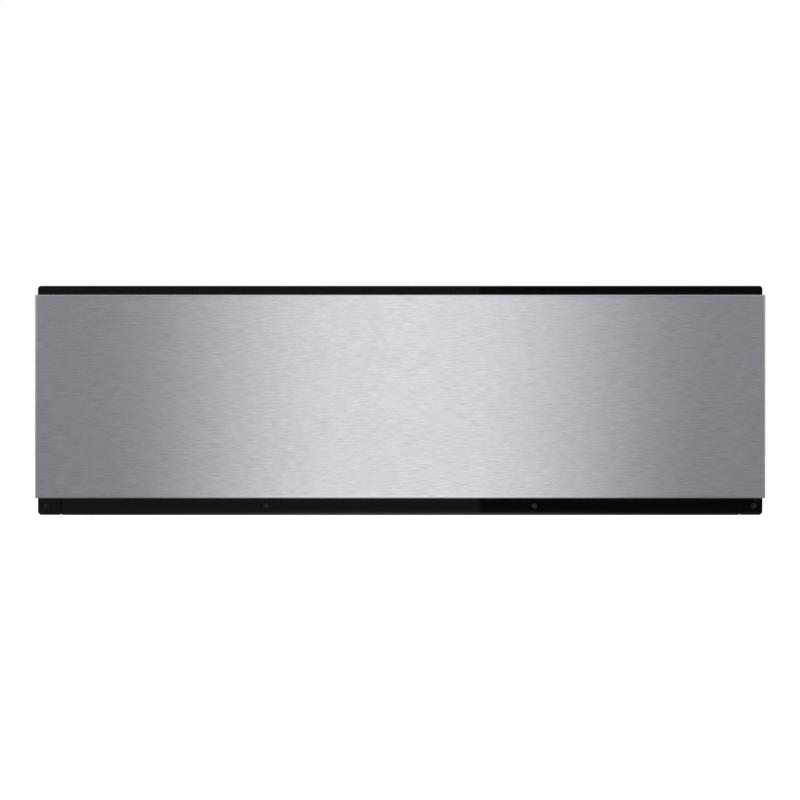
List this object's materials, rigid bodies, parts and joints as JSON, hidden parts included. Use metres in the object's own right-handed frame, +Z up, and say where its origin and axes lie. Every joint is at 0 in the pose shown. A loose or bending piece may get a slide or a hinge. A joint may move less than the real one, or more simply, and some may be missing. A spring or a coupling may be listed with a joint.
{
  "type": "built-in warming drawer",
  "caption": "Built-in warming drawer with a wide handle-less stainless front that springs open when pushed, black trim, telescopic runners and a heated dark glass floor.",
  "frame": {"origin": "middle of the housing's underside, where it rests on the cabinet shelf", "axes": "+X to the right as seen from the front, the drawer opens along -Y, +Z up"},
  "size_m": [0.7556, 0.5915, 0.2372],
  "materials": {
    "brushed_stainless": "horizontally brushed",
    "satin_stainless": "satin",
    "galvanised": "zinc coated, spangled",
    "zinc_plate": "bright zinc plate",
    "black_enamel": "semi-gloss",
    "black_screw": "blackened",
    "mineral_wool": "fibrous mat",
    "dark_glass": "polished, dark ceramic glass",
    "black_gloss": "glossy",
    "grey_plastic": "matte",
    "black_plastic": "matte",
    "board_green": "solder mask",
    "element_sheath": "heat-tinted steel tube",
    "amber_lens": "translucent"
  },
  "bodies": {
    "housing": {"housing_floor": "galvanised", "housing_left_wall": "galvanised", "housing_right_wall": "galvanised", "housing_rear_wall": "galvanised", "top_cover": "galvanised", "inner_ceiling": "satin_stainless", "ceiling_insulation": "mineral_wool", "top_trim": "black_enamel", "bottom_trim": "black_enamel", "left_trim": "black_enamel", "right_trim": "black_enamel", "trim_screw_1": "black_screw", "trim_screw_2": "black_screw", "trim_screw_3": "black_screw", "trim_screw_4": "black_screw", "junction_box": "grey_plastic", "cable_grommet": "black_plastic", "left_runner_outer": "zinc_plate", "right_runner_outer": "zinc_plate", "latch_case": "grey_plastic", "arm_bracket": "zinc_plate"},
    "plunger": {"latch_plunger": "black_plastic"},
    "drawer": {"front_panel": "brushed_stainless", "front_backplate": "galvanised", "front_insulation": "mineral_wool", "drawer_left_wall": "satin_stainless", "left_side_insulation": "mineral_wool", "drawer_right_wall": "satin_stainless", "right_side_insulation": "mineral_wool", "drawer_rear_wall": "satin_stainless", "drawer_front_wall": "satin_stainless", "drawer_floor": "galvanised", "base_insulation": "mineral_wool", "glass_plate": "dark_glass", "reflector_tray": "galvanised", "heating_element": "element_sheath", "temperature_sensor": "zinc_plate", "control_strip": "black_gloss", "control_board": "board_green", "heat_selector": "grey_plastic", "indicator_lens": "amber_lens", "fan_grille": "satin_stainless", "fan_motor": "black_plastic", "latch_striker": "zinc_plate", "left_runner_inner": "zinc_plate", "right_runner_inner": "zinc_plate", "arm_lug": "zinc_plate"},
    "middle_runners": {"left_runner_middle": "zinc_plate", "right_runner_middle": "zinc_plate"},
    "outer_cages": {"left_outer_cage": "grey_plastic", "right_outer_cage": "grey_plastic"},
    "inner_cages": {"left_inner_cage": "grey_plastic", "right_inner_cage": "grey_plastic"},
    "base_swivel": {"arm_base_swivel": "zinc_plate"},
    "lower_arm": {"cable_arm_lower": "black_plastic"},
    "elbow_swivel": {"arm_elbow_swivel": "zinc_plate"},
    "upper_arm": {"cable_arm_upper": "black_plastic"},
    "knob": {"control_knob": "satin_stainless"},
    "button": {"power_button": "satin_stainless"},
    "impeller": {"fan_impeller": "black_plastic"}
  },
  "joints": [
    {"name": "push_to_open", "type": "slide", "parent": "housing", "child": "plunger", "axis": [0, -1, 0], "range_m": [-0.004, 0.035]},
    {"name": "drawer_slide", "type": "slide", "parent": "plunger", "child": "drawer", "axis": [0, -1, 0], "range_m": [0, 0.41]},
    {"name": "middle_runner_follow", "type": "slide", "parent": "housing", "child": "middle_runners", "axis": [0, -1, 0], "range_m": [0, 0.2055]},
    {"name": "outer_cage_follow", "type": "slide", "parent": "housing", "child": "outer_cages", "axis": [0, -1, 0], "range_m": [0, 0.103]},
    {"name": "inner_cage_follow", "type": "slide", "parent": "housing", "child": "inner_cages", "axis": [0, -1, 0], "range_m": [0, 0.308]},
    {"name": "base_swivel_turn", "type": "hinge", "parent": "housing", "child": "base_swivel", "pos_m": [0.29, 0.254, 0.1], "axis": [0, 0, 1], "range_deg": [-0.3, 1.9]},
    {"name": "lower_arm_turn", "type": "hinge", "parent": "base_swivel", "child": "lower_arm", "pos_m": [0.29, 0.254, 0.1], "axis": [0, 0, 1], "range_deg": [-0.1, 21.7]},
    {"name": "elbow_swivel_turn", "type": "hinge", "parent": "lower_arm", "child": "elbow_swivel", "pos_m": [-0.26974, 0.237, 0.1], "axis": [0, 0, 1], "range_deg": [-3.8, 0.5]},
    {"name": "upper_arm_turn", "type": "hinge", "parent": "elbow_swivel", "child": "upper_arm", "pos_m": [-0.26974, 0.237, 0.1], "axis": [0, 0, 1], "range_deg": [-43.3, 0.1]},
    {"name": "knob_turn", "type": "hinge", "parent": "drawer", "child": "knob", "pos_m": [0.235, -0.258, 0.18], "axis": [0, 0, -1], "range_deg": [0, 270]},
    {"name": "power_press", "type": "slide", "parent": "drawer", "child": "button", "axis": [0, 0, -1], "range_m": [0, 0.002], "stiffness_N_per_m": 400, "springref_m": -0.002},
    {"name": "fan_spin", "type": "hinge", "parent": "drawer", "child": "impeller", "pos_m": [0, 0.19, 0.118], "axis": [0, -1, 0], "continuous": true}
  ],
  "couplings": [
    {"joint": "middle_runner_follow", "follows": "drawer_slide", "ratio": 0.5},
    {"joint": "outer_cage_follow", "follows": "drawer_slide", "ratio": 0.25},
    {"joint": "inner_cage_follow", "follows": "drawer_slide", "ratio": 0.75},
    {"joint": "base_swivel_turn", "follows": "push_to_open", "rad_per_m": 0.9169},
    {"joint": "lower_arm_turn", "follows": "drawer_slide", "rad_per_m": 0.9169},
    {"joint": "elbow_swivel_turn", "follows": "push_to_open", "rad_per_m": -1.8338},
    {"joint": "upper_arm_turn", "follows": "drawer_slide", "rad_per_m": -1.8338}
  ]
}
